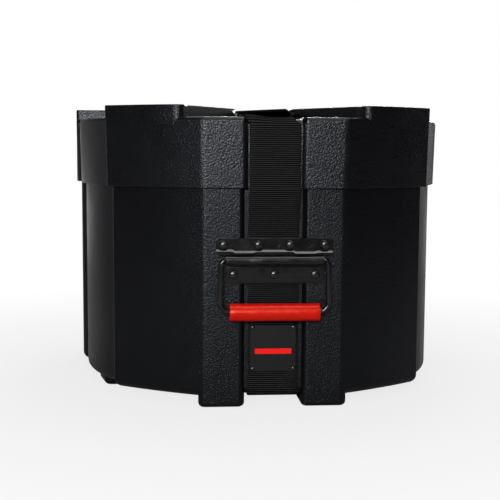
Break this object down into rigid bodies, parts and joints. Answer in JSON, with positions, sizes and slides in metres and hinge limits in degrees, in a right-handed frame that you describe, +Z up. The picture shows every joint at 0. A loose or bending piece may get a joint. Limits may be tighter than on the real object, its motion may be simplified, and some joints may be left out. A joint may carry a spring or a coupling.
{
  "type": "drum case",
  "caption": "Round moulded drum case with a lift-off lid, a webbing strap round it, a side-release buckle and a red tube drop handle.",
  "frame": {"origin": "centre of the case's bounding footprint, on the plane of the feet's undersides", "axes": "+Z up, front with the handle towards -Y, +X to the right when facing the handle"},
  "size_m": [0.424, 0.413, 0.304],
  "materials": {
    "shell": "pebbled black moulded polyethylene",
    "foam": "charcoal foam",
    "webbing": "black ribbed nylon webbing",
    "buckle_plastic": "black satin moulded plastic",
    "black_steel": "black satin powder coat",
    "grip_tube": "smooth red vinyl tube",
    "zinc": "zinc plated steel"
  },
  "bodies": {
    "base": {"base_shell": "shell", "base_wall_liner": "foam", "base_floor_pad": "foam", "base_strap": "webbing", "name_plate": "black_steel", "name_plate_rivet_1": "zinc", "name_plate_rivet_2": "zinc", "name_plate_rivet_3": "zinc", "name_plate_rivet_4": "zinc", "handle_back_plate": "black_steel", "handle_upper_plate": "black_steel", "handle_lower_plate": "black_steel", "handle_upper_rivet_1": "black_steel", "handle_upper_rivet_2": "black_steel", "handle_upper_rivet_3": "black_steel", "handle_upper_rivet_4": "black_steel", "handle_lower_rivet_1": "black_steel", "handle_lower_rivet_2": "black_steel", "handle_lower_rivet_3": "black_steel", "handle_washer_1": "zinc", "handle_washer_2": "zinc", "handle_washer_3": "zinc", "handle_washer_4": "zinc", "handle_washer_5": "zinc", "handle_washer_6": "zinc", "handle_washer_7": "zinc"},
    "handle": {"handle_bail": "black_steel", "handle_grip": "grip_tube"},
    "lid": {"lid_shell": "shell", "lid_pad": "foam", "lid_front_strap": "webbing", "lid_back_strap": "webbing", "buckle_socket": "buckle_plastic"},
    "plug": {"buckle_plug": "buckle_plastic", "strap_tail": "webbing"}
  },
  "joints": [
    {"name": "lid_lift", "type": "slide", "parent": "base", "child": "lid", "axis": [0, 0, 1], "range_m": [0, 0.12]},
    {"name": "handle_swing", "type": "hinge", "parent": "base", "child": "handle", "pos_m": [0, -0.1978, 0.1525], "axis": [-1, 0, 0], "range_deg": [0, 90]},
    {"name": "buckle_slide", "type": "slide", "parent": "lid", "child": "plug", "axis": [0, -1, 0], "range_m": [0, 0.03]}
  ]
}
